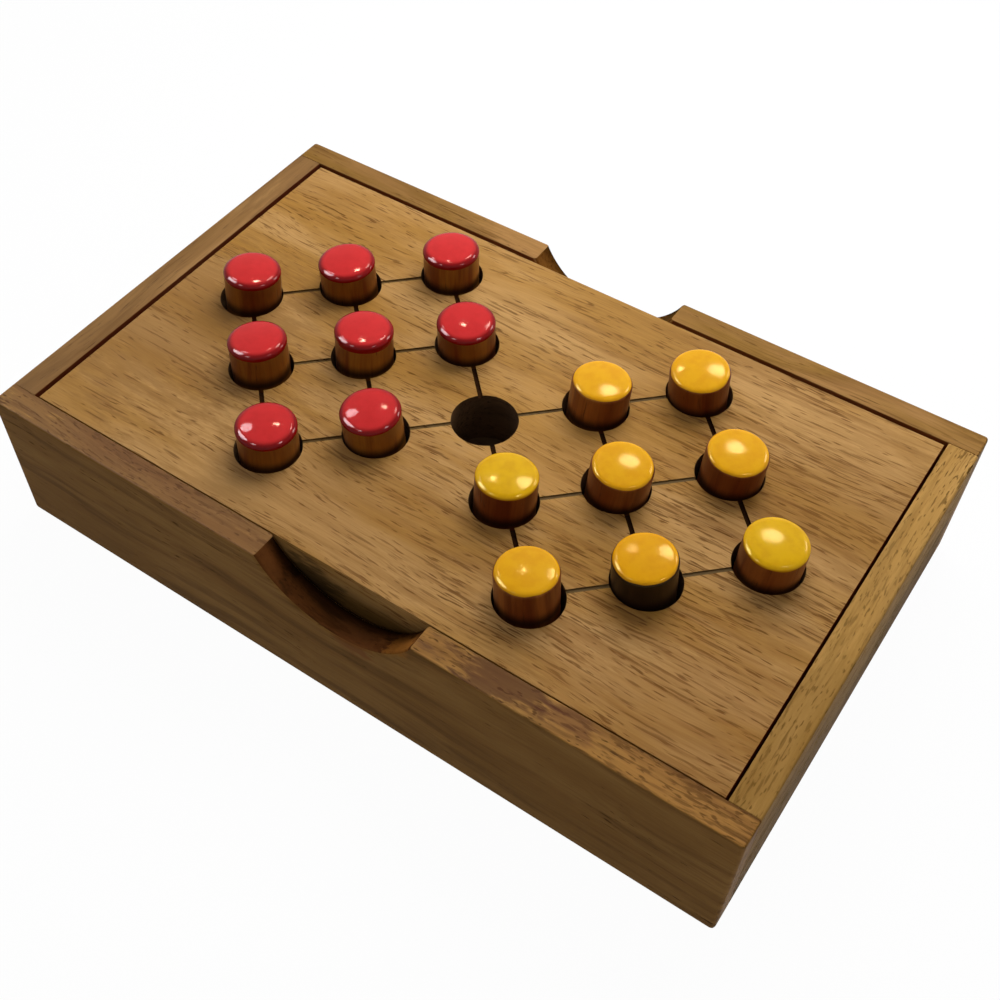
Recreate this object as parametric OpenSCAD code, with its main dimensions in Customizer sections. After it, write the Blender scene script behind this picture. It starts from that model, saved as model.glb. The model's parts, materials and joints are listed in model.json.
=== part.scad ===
// Sixteen-peg exchange puzzle: a lift-out board of loose pegs in a shallow wooden tray.
// Sizes are millimetres and +Z is up. The origin is the centre of the tray's underside.
// +X runs along the long walls, to the yellow pegs, and +Y from the front wall to the back wall.

/* [Tray] */
// Outer length of the tray, along X
tray_l = 174.4; // [166:0.2:220]
// Outer width of the tray, along Y
tray_w = 107.6; // [100:0.2:150]
// Outer height of the tray
tray_h = 35.2; // [31:0.2:60]
// Thickness of the front and back walls
side_t = 6.1; // [3.5:0.1:8]
// Thickness of the end walls
end_t = 6.2; // [3.5:0.1:8]
// Thickness of the floor panel
base_t = 4; // [2:0.5:8]
// Width of the ledge strips that carry the board
ledge_w = 5; // [3:0.5:7]
// Rounding of the tray's four upright corners
corner_r = 0.9; // [0.5:0.1:3]
// Rounding of the tray's outer top edge
rim_r = 0.5; // [0.3:0.1:2]
// Rounding of the tray's outer bottom edge
foot_r = 0.8; // [0.3:0.1:2.5]

/* [Finger scoops] */
// Length of the front scoop at the rim
front_scoop_l = 36.4; // [28:0.2:60]
// Depth of the front scoop
front_scoop_deep = 11; // [6:0.2:14]
// Place of the front scoop along X
front_scoop_x = 2.2; // [-10:0.2:10]
// Length of the back scoop at the rim
back_scoop_l = 35.2; // [28:0.2:60]
// Depth of the back scoop
back_scoop_deep = 10.6; // [6:0.2:14]
// Place of the back scoop along X
back_scoop_x = -0.4; // [-10:0.2:10]

/* [Board] */
// Thickness of the board
board_t = 17; // [14:0.5:22]
// Gap between the board and each end wall, with the board in the middle
board_play_x = 0.9; // [0.3:0.1:2]
// Gap between the board and each long wall, with the board in the middle
board_play_y = 0.7; // [0.3:0.1:2]
// How far the board lies towards the right end wall, as a share of its gap
board_right = 0.35; // [0:0.05:0.6]
// How far the board lies towards the front wall, as a share of its gap
board_forward = 0.6; // [0:0.05:0.6]
// Rounding of the board's upright corners
board_corner_r = 0.8; // [0.2:0.1:2]
// Rounding of the board's top and bottom edges
board_edge_r = 0.4; // [0.2:0.1:1]

/* [Holes and lines] */
// Distance between neighbouring holes in a row
hole_pitch = 22.5; // [19:0.1:24]
// Depth of the holes
hole_deep = 13; // [8:0.5:15]
// How far the hand-drilled holes stray from the even pattern, as a share of the real board's
hole_stray = 1; // [0:0.1:1]
// Turn of the pattern on the board, in degrees
grid_turn = -0.92; // [-2:0.01:2]
// Place of the pattern's centre on the board, towards the right end
grid_x = 0.17; // [-2:0.01:2]
// Place of the pattern's centre on the board, towards the back
grid_y = 0.6; // [-2:0.1:2]
// Width of the scored lines that run to the right and the front
line_w = 1; // [0.4:0.1:1.5]
// Depth of those lines
line_deep = 0.7; // [0.3:0.1:1.5]
// Width of the lighter scored lines that run to the right and the back
light_line_w = 0.9; // [0.4:0.1:1.5]
// Depth of those lines
light_line_deep = 0.3; // [0.3:0.1:1.5]

/* [Pegs] */
// Diameter of a peg
peg_d = 12.6; // [8:0.2:14]
// Length of a peg
peg_l = 20.3; // [16:0.1:26]
// Gap all round a peg that stands upright in the middle of its hole
peg_play = 0.7; // [0.4:0.1:1.4]
// Rounding of a peg's painted top edge
peg_top_r = 1.1; // [0.3:0.1:2.5]
// Rounding of a peg's bottom edge
peg_foot_r = 0.4; // [0.2:0.1:1]

/* [Fits] */
// Gap under the board and under each peg, where it rests
seat_gap = 0.2; // [0.1:0.05:0.3]
// Least gap left between a leaning peg and its hole
rub_gap = 0.08; // [0.05:0.01:0.2]

/* [Hidden] */
$fn = 96;
in_l = tray_l - 2 * end_t;
in_w = tray_w - 2 * side_t;
board_l = in_l - 2 * board_play_x;
board_w = in_w - 2 * board_play_y;
board_x = board_right * board_play_x;
board_y = -board_forward * board_play_y;
board_z = tray_h - board_t;
hole_d = peg_d + 2 * peg_play;
hole_floor_z = tray_h - hole_deep;
// Cuts run this far past a face that they open
past = 1;
// A peg at full lean takes up these shares of its play at the hole's mouth and at its foot
mouth_share = 0.9;
foot_share = 0.8;

// Hole places are [column, row] steps along the two diagonals from the shared middle hole.
// Columns run to the right and the back, rows to the right and the front.
RED_PLACES = [for (row = [-2:0]) for (column = [-2:0]) if (row != 0 || column != 0) [column, row]];
YELLOW_PLACES = [for (row = [0:2]) for (column = [0:2]) if (row != 0 || column != 0) [column, row]];
HOLE_PLACES = concat(RED_PLACES, [[0, 0]], YELLOW_PLACES);
// How far each hole was drilled off its place in the even pattern, as [x, y], in the order of HOLE_PLACES
HOLE_STRAYS = [
    [-0.25, 0.25], [-0.4, -0.15], [0.2, 0], [0.2, 0.55], [-0.05, -0.15], [0, -0.25], [0.5, 0], [-0.15, -0.15],
    [0, -0.4],
    [0.6, 0.15], [0.15, 0.05], [-0.6, 0.3], [-0.65, 0.15], [0, 0.1], [0.1, 0], [-0.15, -0.1], [0.65, 0.45]
];
// The way each loose peg leans, as [x, y] shares of a full lean
RED_LEANS = [
    [0.4, 0.9], [-0.4, -0.2], [-0.45, 0.35], [-0.65, 0.65],
    [0, 0.8], [0.05, -0.4], [0.3, 0.1], [-0.35, -0.75]
];
YELLOW_LEANS = [
    [0.4, 0.75], [-0.25, -0.95], [0, 0.65], [0.8, -0.15],
    [0.7, -0.25], [-0.9, 0.25], [-0.6, -0.6], [0.4, -0.05]
];
PEG_COUNT = len(RED_PLACES);

// A place in the even pattern, on the board's top
function grid_xy(place) = let (
    x = (place.x + place.y) * hole_pitch / sqrt(2),
    y = (place.x - place.y) * hole_pitch / sqrt(2)
) [
    x * cos(grid_turn) - y * sin(grid_turn) + grid_x + board_x,
    x * sin(grid_turn) + y * cos(grid_turn) + grid_y + board_y
];

// The middle of a drilled hole, from its number in HOLE_PLACES
function hole_xy(number) = grid_xy(HOLE_PLACES[number]) + hole_stray * HOLE_STRAYS[number];

// A rectangle about the Y axis, from y = 0 up, with its low and high corners rounded
module rounded_outline(w, h, low_r, high_r) {
    difference() {
        translate([-w / 2, 0]) square([w, h]);
        for (side = [0, 1]) mirror([side, 0]) {
            translate([-w / 2, 0]) corner_waste(low_r);
            translate([-w / 2, h]) mirror([0, 1]) corner_waste(high_r);
        }
    }
}

// What rounding takes off a corner at the origin
module corner_waste(r) {
    difference() {
        translate([-r, -r]) square(2 * r);
        translate([r, r]) circle(r);
    }
}

// A block on z = 0 with rounded upright corners and rounded bottom and top edges
module rounded_block(l, w, h, upright_r, low_r, high_r) {
    intersection() {
        translate([0, -w / 2, 0]) linear_extrude(h) rounded_outline(l, w, upright_r, upright_r);
        translate([0, w / 2, 0]) rotate([90, 0, 0]) linear_extrude(w) rounded_outline(l, h, low_r, high_r);
        translate([-l / 2, 0, 0]) rotate([90, 0, 90]) linear_extrude(l) rounded_outline(w, h, low_r, high_r);
    }
}

module tray_form() {
    rounded_block(tray_l, tray_w, tray_h, corner_r, foot_r, rim_r);
}

// The round cut that makes a finger scoop, through a long wall at y
module scoop_cut(x, y, l, deep) {
    r = (pow(l / 2, 2) + pow(deep, 2)) / (2 * deep);
    translate([x, y, tray_h - deep + r])
        rotate([90, 0, 0])
        cylinder(r = r, h = side_t + 2 * past, center = true);
}

module base_panel() {
    color("#6b4b2c")
        translate([-in_l / 2, -in_w / 2, 0]) cube([in_l, in_w, base_t]);
}

module front_wall() {
    color("#8a5f38") difference() {
        intersection() {
            tray_form();
            translate([-tray_l / 2, -tray_w / 2, 0]) cube([tray_l, side_t, tray_h]);
        }
        scoop_cut(front_scoop_x, -(tray_w - side_t) / 2, front_scoop_l, front_scoop_deep);
    }
}

module back_wall() {
    color("#9c7245") difference() {
        intersection() {
            tray_form();
            translate([-tray_l / 2, tray_w / 2 - side_t, 0]) cube([tray_l, side_t, tray_h]);
        }
        scoop_cut(back_scoop_x, (tray_w - side_t) / 2, back_scoop_l, back_scoop_deep);
    }
}

// An end wall between the long walls, on the side that the sign gives
module end_wall(side) {
    intersection() {
        tray_form();
        translate([side * (tray_l - end_t) / 2, 0, tray_h / 2]) cube([end_t, in_w, tray_h], center = true);
    }
}

module left_end_wall() {
    color("#7b5b3c") end_wall(-1);
}

module right_end_wall() {
    color("#a5793f") end_wall(1);
}

// A strip on the floor against an end wall, up to just under the board
module ledge(side) {
    h = board_z - seat_gap - base_t;
    translate([side * (in_l - ledge_w) / 2, 0, base_t + h / 2]) cube([ledge_w, in_w, h], center = true);
}

module left_ledge() {
    color("#6b4b2c") ledge(-1);
}

module right_ledge() {
    color("#6b4b2c") ledge(1);
}

// A straight scored line of width w between two places in the pattern
module scored_line(from, to, w, deep) {
    a = grid_xy(from);
    b = grid_xy(to);
    run = b - a;
    translate([a.x, a.y, tray_h - deep])
        rotate([0, 0, atan2(run.y, run.x)])
        translate([0, -w / 2, 0])
        cube([norm(run), w, deep + past]);
}

// The six lines of the three-by-three square whose first hole is at this step
module scored_square(first) {
    last = first + 2;
    for (step = [first:last]) {
        scored_line([first, step], [last, step], light_line_w, light_line_deep);
        scored_line([step, first], [step, last], line_w, line_deep);
    }
}

module game_board() {
    color("#b58e58") difference() {
        translate([board_x, board_y, board_z])
            rounded_block(board_l, board_w, board_t, board_corner_r, board_edge_r, board_edge_r);
        for (number = [0:len(HOLE_PLACES) - 1]) {
            xy = hole_xy(number);
            translate([xy.x, xy.y, hole_floor_z]) cylinder(d = hole_d, h = hole_deep + past);
        }
        scored_square(-2);
        scored_square(0);
    }
}

// One peg on z = 0, upright
module peg_form() {
    rotate_extrude() intersection() {
        rounded_outline(peg_d, peg_l, peg_foot_r, peg_top_r);
        square([peg_d, peg_l]);
    }
}

// A peg at rest in the hole of this number, leaning against its rim
module peg(number, lean) {
    xy = hole_xy(number);
    play = peg_play - rub_gap;
    foot = -lean * play * foot_share;
    reach = norm(lean) * play * (mouth_share + foot_share);
    tilt = atan2(reach, hole_deep);
    rise = seat_gap + sin(tilt) * peg_d / 2;
    translate([xy.x + foot.x, xy.y + foot.y, hole_floor_z + rise])
        rotate([0, 0, atan2(lean.y, lean.x)])
        rotate([0, tilt, 0])
        peg_form();
}

module red_peg(n) {
    color("#c8283a") peg(n - 1, RED_LEANS[n - 1]);
}

// The yellow pegs' holes come after the red ones' and the empty middle one
module yellow_peg(n) {
    color("#e2a418") peg(PEG_COUNT + n, YELLOW_LEANS[n - 1]);
}

base_panel();
front_wall();
back_wall();
left_end_wall();
right_end_wall();
left_ledge();
right_ledge();
game_board();
for (n = [1:PEG_COUNT]) {
    red_peg(n);
    yellow_peg(n);
}
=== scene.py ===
"""Dresses the sixteen-peg exchange puzzle: an oiled wooden tray, a lift-out board and painted pegs."""
from __future__ import annotations

import json
import logging
import math
from dataclasses import dataclass, field, replace
from enum import Enum
from typing import Callable

import bmesh
import bpy
from mathutils import Matrix, Vector

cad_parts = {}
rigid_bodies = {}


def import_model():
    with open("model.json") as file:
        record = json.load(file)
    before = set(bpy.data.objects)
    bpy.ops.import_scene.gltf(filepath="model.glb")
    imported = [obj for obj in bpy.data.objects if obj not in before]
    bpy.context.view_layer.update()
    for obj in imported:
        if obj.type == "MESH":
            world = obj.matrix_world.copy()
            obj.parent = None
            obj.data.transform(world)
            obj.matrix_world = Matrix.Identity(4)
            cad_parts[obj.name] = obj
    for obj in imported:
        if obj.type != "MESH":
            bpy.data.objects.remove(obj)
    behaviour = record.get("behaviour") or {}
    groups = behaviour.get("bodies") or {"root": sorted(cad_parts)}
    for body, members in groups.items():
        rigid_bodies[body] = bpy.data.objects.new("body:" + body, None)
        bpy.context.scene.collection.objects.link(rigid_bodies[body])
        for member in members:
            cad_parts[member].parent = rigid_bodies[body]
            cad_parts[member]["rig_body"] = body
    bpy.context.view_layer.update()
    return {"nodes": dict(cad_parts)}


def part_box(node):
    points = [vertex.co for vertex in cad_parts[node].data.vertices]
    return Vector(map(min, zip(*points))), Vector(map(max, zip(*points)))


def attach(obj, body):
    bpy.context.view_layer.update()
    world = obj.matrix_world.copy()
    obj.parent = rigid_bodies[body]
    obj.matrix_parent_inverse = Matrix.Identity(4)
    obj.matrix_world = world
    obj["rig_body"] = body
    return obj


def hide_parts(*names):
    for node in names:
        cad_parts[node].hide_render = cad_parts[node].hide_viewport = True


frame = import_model()

LOG = logging.getLogger("peg_puzzle")
MM = 0.001
NEAR = 0.01 * MM

Socket = bpy.types.NodeSocket
Colour = tuple[float, float, float]


def srgb(red: int, green: int, blue: int) -> Colour:
    """Turn a colour as it is seen on a screen into the linear values that shaders use.

    Args:
        red: Red, 0 to 255.
        green: Green, 0 to 255.
        blue: Blue, 0 to 255.

    Returns:
        The three linear values, 0 to 1.
    """
    def linear(value: int) -> float:
        """Undo the screen's curve for one channel."""
        share = value / 255
        return share / 12.92 if share <= 0.04045 else ((share + 0.055) / 1.055) ** 2.4

    return linear(red), linear(green), linear(blue)


class Grain(Enum):
    """The way the fibres of a piece run."""

    ALONG_X = "along x"
    ALONG_Y = "along y"
    OWN_LENGTH = "own length"


class NodeBench:
    """A short way to place and join shader nodes in one tree."""

    def __init__(self, tree: bpy.types.NodeTree) -> None:
        """Start on a tree and clear it.

        Args:
            tree: The material's or group's node tree.
        """
        self.tree = tree
        self.tree.nodes.clear()

    def add(self, kind: str, **settings: object) -> bpy.types.Node:
        """Place one node.

        Args:
            kind: The node's type name.
            **settings: Properties of the node.

        Returns:
            The new node.
        """
        node = self.tree.nodes.new(kind)
        for name, value in settings.items():
            setattr(node, name, value)
        return node

    def feed(self, node: bpy.types.Node, name: str | int, value: object) -> None:
        """Link a socket to an input, or set the input to a plain value.

        Args:
            node: The node that is fed.
            name: The input's name or number.
            value: A socket, a number, a vector or a colour.
        """
        target = node.inputs[name]
        if isinstance(value, bpy.types.NodeSocket):
            self.tree.links.new(value, target)
        elif target.type == "RGBA" and len(value) == 3:
            target.default_value = (*value, 1.0)
        else:
            target.default_value = value

    def to_output(self, surface: Socket, kind: str = "ShaderNodeOutputMaterial") -> None:
        """Join a shader to the tree's output.

        Args:
            surface: The shader's socket.
            kind: The output node's type name.
        """
        self.feed(self.add(kind), "Surface", surface)

    def millimetres(self, place: Socket) -> Socket:
        """Turn coordinates in metres into millimetres."""
        return self.vector("MULTIPLY", place, (1 / MM,) * 3)

    def object_place(self) -> Socket:
        """Read the piece's own coordinates, in metres."""
        return self.add("ShaderNodeTexCoord").outputs["Object"]

    def mirror_or_camera(self) -> Socket:
        """Tell whether a ray comes from the camera, a gloss or glass.

        Returns:
            1 if it does, or else 0.
        """
        path = self.add("ShaderNodeLightPath").outputs
        seen = self.maths("ADD", path["Is Camera Ray"], path["Is Glossy Ray"])
        return self.maths("MINIMUM", self.maths("ADD", seen, path["Is Transmission Ray"]), 1.0)

    def bump(self, strength: float, distance: float, height: Socket) -> Socket:
        """Turn a height into a bent normal.

        Args:
            strength: How much of it shows, 0 to 1.
            distance: How high a height of 1 is, in metres.
            height: The height.

        Returns:
            The normal.
        """
        node = self.add("ShaderNodeBump")
        for name, value in (("Strength", strength), ("Distance", distance), ("Height", height)):
            self.feed(node, name, value)
        return node.outputs[0]

    def maths(self, operation: str, a: object, b: object = 0.0, c: object = 0.0) -> Socket:
        """Combine numbers.

        Args:
            operation: The Math node's operation.
            a: First number or socket.
            b: Second number or socket.
            c: Third number or socket.

        Returns:
            The result's socket.
        """
        node = self.add("ShaderNodeMath", operation=operation)
        for place, value in enumerate((a, b, c)):
            self.feed(node, place, value)
        return node.outputs[0]

    def vector(self, operation: str, a: object, b: object = (0.0, 0.0, 0.0)) -> Socket:
        """Combine vectors.

        Args:
            operation: The Vector Math node's operation.
            a: First vector or socket.
            b: Second vector or socket.

        Returns:
            The result's vector socket.
        """
        node = self.add("ShaderNodeVectorMath", operation=operation)
        self.feed(node, 0, a)
        self.feed(node, 1, b)
        return node.outputs[0]

    def noise(self, place: Socket, stretch: tuple[float, float, float], detail: float = 2.0,
              rough: float = 0.5, warp: float = 0.0) -> Socket:
        """Make noise whose blobs have the given size.

        Args:
            place: Coordinates in millimetres.
            stretch: Size of a blob along each axis, in millimetres.
            detail: Octaves of finer noise.
            rough: Strength of each finer octave.
            warp: How far the noise bends itself.

        Returns:
            A value around 0.5.
        """
        scaled = self.vector("MULTIPLY", place, tuple(1.0 / size for size in stretch))
        node = self.add("ShaderNodeTexNoise", noise_dimensions="3D")
        self.feed(node, "Vector", scaled)
        for name, value in (("Scale", 1.0), ("Detail", detail), ("Roughness", rough),
                            ("Distortion", warp)):
            self.feed(node, name, value)
        return node.outputs[0]

    def ramp(self, value: Socket, low: object, high: object, start: object = 0.0,
             end: object = 1.0) -> Socket:
        """Spread a value smoothly from one range to another, with its ends held.

        Args:
            value: The value.
            low: Where the ramp starts.
            high: Where the ramp ends.
            start: The result at the start.
            end: The result at the end.

        Returns:
            The result's socket.
        """
        node = self.add("ShaderNodeMapRange", interpolation_type="SMOOTHSTEP")
        for name, given in (("Value", value), ("From Min", low), ("From Max", high),
                            ("To Min", start), ("To Max", end)):
            self.feed(node, name, given)
        return node.outputs[0]

    def mix(self, share: object, a: object, b: object, way: str = "MIX") -> Socket:
        """Blend two colours.

        Args:
            share: How much of the second colour.
            a: First colour or socket.
            b: Second colour or socket.
            way: The blend type.

        Returns:
            The blended colour's socket.
        """
        node = self.add("ShaderNodeMix", data_type="RGBA", blend_type=way)
        self.feed(node, 0, share)
        self.feed(node, 6, a)
        self.feed(node, 7, b)
        return node.outputs[2]


def new_material(name: str) -> tuple[bpy.types.Material, NodeBench]:
    """Start a material.

    Args:
        name: Its name.

    Returns:
        The material, and the bench on its empty tree.
    """
    material = bpy.data.materials.new(name)
    material.use_nodes = True
    return material, NodeBench(material.node_tree)


@dataclass(frozen=True)
class GroupSocket:
    """One input or output of a shared effect."""

    name: str
    kind: str
    output: bool = False
    default: object = None


def new_group(name: str, sockets: list[GroupSocket]) -> tuple[NodeBench, bpy.types.Node, bpy.types.Node]:
    """Start a shared effect.

    Args:
        name: The node group's name.
        sockets: Its inputs and outputs.

    Returns:
        The bench on its tree, its input node and its output node.
    """
    tree = bpy.data.node_groups.new(name, "ShaderNodeTree")
    for socket in sockets:
        side = "OUTPUT" if socket.output else "INPUT"
        made = tree.interface.new_socket(socket.name, in_out=side, socket_type=socket.kind)
        if socket.default is not None:
            made.default_value = socket.default
    bench = NodeBench(tree)
    return bench, bench.add("NodeGroupInput"), bench.add("NodeGroupOutput")


class Effects:
    """The shader node groups that several finishes share."""

    NUMBER = "NodeSocketFloat"
    PAINT = "NodeSocketColor"
    PLACE = "NodeSocketVector"
    UNIT = (1.0, 1.0, 1.0)
    BAND_LENGTH = 46.0
    PORE_STRENGTH = 0.74
    PATCH_NARROWER = (0.75, 1.0, 1.0)
    PATCH_CLEAR = 1.0
    PATCH_FULL = 0.45

    def __init__(self) -> None:
        """Build each group once."""
        self.wood = self._wood_grain()
        self.skin = self._lacquer_skin()
        self.patch = self._colour_patch()

    def _wood_grain(self) -> bpy.types.NodeTree:
        """Open-pored hardwood: drifting tone, soft bands, fine streaks, dark pore dashes and fibres.

        Returns:
            The group. Its coordinates are metres, with the fibres along X.
        """
        sizes = (("Bands", 0.5), ("Band Width", 4.0), ("Streaks", 0.5), ("Streak Length", 14.0),
                 ("Streak Width", 0.6), ("Pores", 0.5), ("Pore Length", 3.0), ("Pore Width", 0.35))
        bench, given, made = new_group("wood_grain", [
            GroupSocket("Place", self.PLACE),
            *(GroupSocket(name, self.PAINT) for name in ("Light", "Middle", "Dark", "Pore")),
            *(GroupSocket(name, self.NUMBER, default=value) for name, value in sizes),
            GroupSocket("Colour", self.PAINT, output=True),
            GroupSocket("Pore Mask", self.NUMBER, output=True),
            GroupSocket("Height", self.NUMBER, output=True),
        ])
        take = given.outputs
        place = bench.millimetres(take["Place"])
        # Lines of grain wander up to 3.5 mm to each side along their length
        drift = bench.noise(place, (52.0, 24.0, 24.0), 1.0)
        sway = bench.maths("MULTIPLY_ADD", drift, 7.0, -3.5)
        shift = bench.add("ShaderNodeCombineXYZ")
        bench.feed(shift, "Y", sway)
        bench.feed(shift, "Z", sway)
        place = bench.vector("ADD", place, shift.outputs[0])

        # The tone drifts slowly between light and middle
        cloud = bench.noise(place, (62.0, 13.0, 13.0), 3.0, 0.55)
        tone = bench.mix(bench.ramp(cloud, 0.36, 0.64), take["Light"], take["Middle"])
        slow = bench.noise(bench.vector("ADD", place, (311.0, 77.0, 19.0)), (34.0, 7.0, 7.0), 2.0)

        # Broad soft bands of growth
        broad = bench.noise(self.squeezed(bench, place, self.BAND_LENGTH, take["Band Width"]),
                            self.UNIT, 3.0, 0.55, 0.2)
        bands = bench.maths("MULTIPLY", bench.ramp(broad, 0.46, 0.66), take["Bands"])
        tone = bench.mix(bands, tone, take["Dark"])

        # Fine streaks, which crowd together in places
        fine = bench.noise(self.squeezed(bench, place, take["Streak Length"], take["Streak Width"]),
                           self.UNIT, 2.0, 0.55)
        crowded = bench.ramp(slow, 0.32, 0.62, 0.25, 1.0)
        streaks = bench.maths("MULTIPLY", bench.ramp(fine, 0.5, 0.68), crowded)
        tone = bench.mix(bench.maths("MULTIPLY", streaks, take["Streaks"]), tone, take["Dark"])

        # Pores: short dashes and longer veins, more of them in the streaks
        pore_place = self.squeezed(bench, place, take["Pore Length"], take["Pore Width"])
        crowd = bench.maths("MULTIPLY_ADD", streaks, 0.05, bench.maths("MULTIPLY", take["Pores"], 0.16))
        crowd = bench.maths("MULTIPLY_ADD", bench.maths("SUBTRACT", slow, 0.5), 0.22, crowd)
        edge = bench.maths("SUBTRACT", 0.76, crowd)
        short = bench.noise(pore_place, self.UNIT, 1.0, 0.4)
        dashes = bench.ramp(short, edge, bench.maths("ADD", edge, 0.13))
        far = bench.vector("ADD", pore_place, (91.0, 37.0, 53.0))
        long = bench.noise(far, (2.8, 1.5, 1.5), 2.0, 0.5)
        veins = bench.ramp(long, bench.maths("SUBTRACT", edge, 0.03), bench.maths("ADD", edge, 0.07))
        pores = bench.maths("MAXIMUM", dashes, bench.maths("MULTIPLY", veins, 0.75))

        # Hair-thin fibres lighten and darken everything a little
        fibre = bench.noise(place, (9.0, 0.34, 0.34), 2.0, 0.55)
        shade = bench.ramp(fibre, 0.25, 0.75, 0.92, 1.08)
        tint = bench.add("ShaderNodeCombineColor")
        for name in ("Red", "Green", "Blue"):
            bench.feed(tint, name, shade)
        tone = bench.mix(1.0, tone, tint.outputs[0], "MULTIPLY")
        filled = bench.maths("MULTIPLY", pores, self.PORE_STRENGTH)
        bench.feed(made, "Colour", bench.mix(filled, tone, take["Pore"]))
        bench.feed(made, "Pore Mask", pores)
        relief = bench.maths("MULTIPLY_ADD", pores, -1.0, bench.maths("MULTIPLY", fibre, 0.18))
        bench.feed(made, "Height", relief)
        return bench.tree

    @staticmethod
    def squeezed(bench: NodeBench, place: Socket, length: object, width: object) -> Socket:
        """Scale coordinates so that one unit is a given length along the fibres and width across.

        Args:
            bench: The group's bench.
            place: Coordinates in millimetres.
            length: The length along the fibres, in millimetres.
            width: The width across the fibres, in millimetres.

        Returns:
            The scaled coordinates.
        """
        size = bench.add("ShaderNodeCombineXYZ")
        bench.feed(size, "X", length)
        bench.feed(size, "Y", width)
        bench.feed(size, "Z", width)
        return bench.vector("DIVIDE", place, size.outputs[0])

    def _lacquer_skin(self) -> bpy.types.NodeTree:
        """A dipped paint film: mottled tone, painted shade growing down the cap's side, an edge that runs
        unevenly and a softly waving surface.

        Returns:
            The group. Its coordinates are metres.
        """
        bench, given, made = new_group("lacquer_skin", [
            GroupSocket("Place", self.PLACE),
            GroupSocket("Paint", self.PAINT),
            GroupSocket("Dark And Shaded Paint", self.PAINT),
            GroupSocket("Side", self.NUMBER, default=0.0),
            GroupSocket("Mottle", self.NUMBER, default=0.4),
            GroupSocket("Colour", self.PAINT, output=True),
            GroupSocket("Run", self.NUMBER, output=True),
            GroupSocket("Height", self.NUMBER, output=True),
        ])
        place = bench.millimetres(given.outputs["Place"])
        wander = bench.noise(place, (4.5, 4.5, 4.5), 2.0)
        bench.feed(made, "Run", bench.maths("MULTIPLY_ADD", wander, 0.4, -0.2))
        mottle = bench.noise(place, (2.6, 2.6, 2.6), 3.0, 0.6)
        mottled = bench.ramp(mottle, 0.35, 0.7, 0.0, given.outputs["Mottle"])
        # The mottled spots and the painted shade down the cap's side both take the darker paint.
        mottle_and_shade = bench.maths("MAXIMUM", mottled, given.outputs["Side"])
        tone = bench.mix(mottle_and_shade, given.outputs["Paint"], given.outputs["Dark And Shaded Paint"])
        bench.feed(made, "Colour", tone)
        bench.feed(made, "Height", bench.noise(place, (2.0, 2.0, 2.0), 2.0, 0.45))
        return bench.tree

    def _colour_patch(self) -> bpy.types.NodeTree:
        """A spot with a ragged edge, drawn out along the fibres.

        Returns:
            The group. Its coordinates are metres, its centre and radius millimetres, and Fibres are the
            coordinates turned so that the fibres run along X.
        """
        bench, given, made = new_group("colour_patch", [
            GroupSocket("Place", self.PLACE),
            GroupSocket("Fibres", self.PLACE),
            GroupSocket("Centre", self.PLACE),
            GroupSocket("Radius", self.NUMBER, default=5.0),
            GroupSocket("Mask", self.NUMBER, output=True),
        ])
        place = bench.millimetres(given.outputs["Place"])
        away = bench.vector("SUBTRACT", place, given.outputs["Centre"])
        length = bench.add("ShaderNodeVectorMath", operation="LENGTH")
        bench.feed(length, 0, bench.vector("MULTIPLY", away, self.PATCH_NARROWER))
        fibres = bench.millimetres(given.outputs["Fibres"])
        ragged = bench.maths("MULTIPLY_ADD", bench.noise(fibres, (6.0, 1.2, 1.2), 3.0, 0.6), 2.0, -1.0)
        reach = bench.maths("DIVIDE", length.outputs["Value"], given.outputs["Radius"])
        edge = bench.maths("ADD", reach, ragged)
        bench.feed(made, "Mask", bench.ramp(edge, self.PATCH_CLEAR, self.PATCH_FULL))
        return bench.tree


@dataclass(frozen=True)
class Patch:
    """A spot of another colour on a piece. Some are worn or stained spots, and some paint light or shade.

    Attributes:
        centre: Its middle, in millimetres.
        radius: Its radius, in millimetres.
        colour: Its colour.
        strength: How far it covers the wood, 0 to 1.
    """

    centre: tuple[float, float, float]
    radius: float
    colour: Colour
    strength: float = 0.8


@dataclass(frozen=True)
class Shade:
    """A ramp along one axis of a piece. As a finish's shade it darkens or tints the wood, which paints
    shade: in the gaps round the board, in the scoops, low on the board's sides and the right end, and
    round the pegs' feet. As a figure it makes the grain stand out more.

    Attributes:
        axis: The axis along which it fades.
        full: Where it is strongest, in millimetres.
        clear: Where it ends, in millimetres.
        depth: How strong it gets, 0 to 1.
        colour: The colour that it darkens or tints the wood towards.
        low: The height under which there is none, in millimetres, where it has one.
    """

    axis: str
    full: float
    clear: float
    depth: float
    colour: Colour = (0.0, 0.0, 0.0)
    low: float | None = None
    LOW_FADE = 1.4

    def mask(self, bench: NodeBench) -> Socket:
        """Work out its strength at each point.

        Args:
            bench: The material's bench.

        Returns:
            The strength, 0 to depth.
        """
        split = bench.add("ShaderNodeSeparateXYZ")
        bench.feed(split, 0, bench.millimetres(bench.object_place()))
        strength = bench.ramp(split.outputs[self.axis], self.full, self.clear, self.depth, 0.0)
        if self.low is None:
            return strength
        above = bench.ramp(split.outputs["Z"], self.low, self.low + self.LOW_FADE)
        return bench.maths("MULTIPLY", strength, above)


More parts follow.
